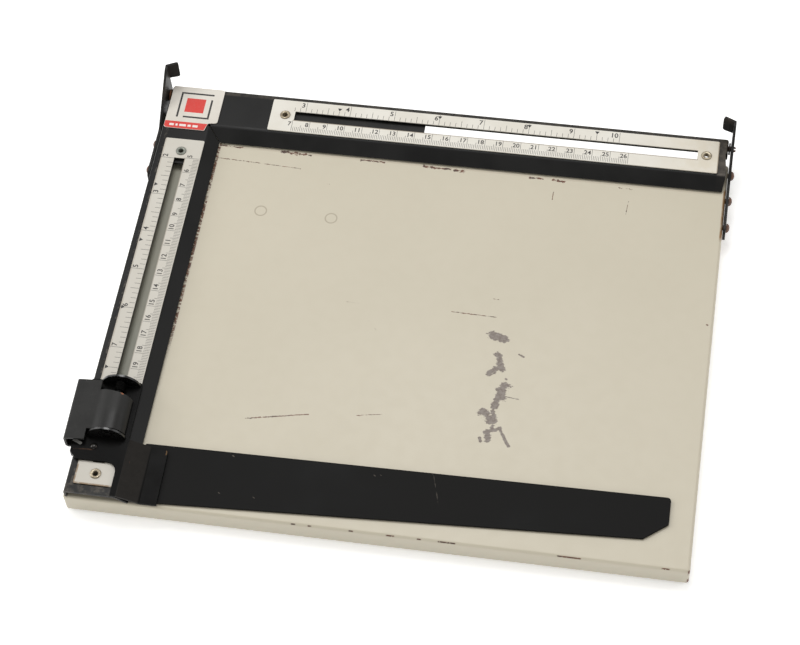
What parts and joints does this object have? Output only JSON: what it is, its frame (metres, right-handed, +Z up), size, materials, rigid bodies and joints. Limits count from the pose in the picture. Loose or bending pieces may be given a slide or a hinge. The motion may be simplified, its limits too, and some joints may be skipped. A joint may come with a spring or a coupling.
{
  "type": "enlarging easel",
  "caption": "Flat enlarging easel: base tray, hinged L frame with printed scales in two arms, and a sliding masking blade with a lever lock on the side arm.",
  "frame": {"origin": "middle of the bounding box at the height of the table the feet stand on", "axes": "+X to the right along the top arm's scale, +Y from the front edge to the hinge side, +Z up"},
  "size_m": [0.3292, 0.2722, 0.0358],
  "materials": {
    "cream_paint": "aged satin enamel",
    "black_paint": "satin enamel",
    "zinc_steel": "dull zinc",
    "rusty_steel": "tarnished and rusty",
    "brass": "worn plating",
    "printed_plate": "printed satin",
    "label_plate": "satin with a red strip",
    "rubber": "matte",
    "spring_steel": "dark with rust"
  },
  "bodies": {
    "base": {"base_tray": "cream_paint", "foot_front_left": "rubber", "foot_front_right": "rubber", "foot_rear_left": "rubber", "foot_rear_right": "rubber", "hinge_strap_left": "black_paint", "pivot_screw_left": "zinc_steel", "pivot_washer_left": "zinc_steel", "strap_rivet_front_left": "rusty_steel", "strap_rivet_middle_left": "rusty_steel", "strap_rivet_rear_left": "rusty_steel", "hinge_strap_right": "black_paint", "pivot_screw_right": "zinc_steel", "pivot_washer_right": "zinc_steel", "strap_rivet_front_right": "rusty_steel", "strap_rivet_middle_right": "rusty_steel", "strap_rivet_rear_right": "rusty_steel"},
    "frame": {"top_arm": "black_paint", "side_arm": "black_paint", "corner_gusset": "black_paint", "top_scale": "printed_plate", "side_scale": "printed_plate", "eyelet_top_left": "brass", "eyelet_top_right": "brass", "eyelet_side_rear": "brass", "eyelet_side_front": "brass", "corner_badge": "label_plate"},
    "slide": {"carriage_plate": "black_paint", "blade": "black_paint", "lever_pin": "zinc_steel", "torsion_spring": "spring_steel"},
    "lever": {"lock_lever": "black_paint"},
    "clamp": {"clamp_stem": "zinc_steel", "clamp_plate": "zinc_steel"}
  },
  "joints": [
    {"name": "frame_lift", "type": "hinge", "parent": "base", "child": "frame", "pos_m": [0, 0.1273, 0.0158], "axis": [-1, 0, 0], "range_deg": [0, 94]},
    {"name": "blade_slide", "type": "slide", "parent": "frame", "child": "slide", "axis": [0, 1, 0], "range_m": [-0.003, 0.141]},
    {"name": "lever_press", "type": "hinge", "parent": "slide", "child": "lever", "pos_m": [-0.1407, -0.09015, 0.0256], "axis": [0.0143, -0.9999, 0], "range_deg": [0, 5.5], "stiffness_Nm_per_rad": 0.12, "springref_deg": -20.05},
    {"name": "clamp_release", "type": "slide", "parent": "slide", "child": "clamp", "axis": [0, 0, 1], "range_m": [-0.000346, 0]}
  ],
  "couplings": [
    {"joint": "lever_press", "follows": "clamp_release", "rad_per_m": -277}
  ]
}
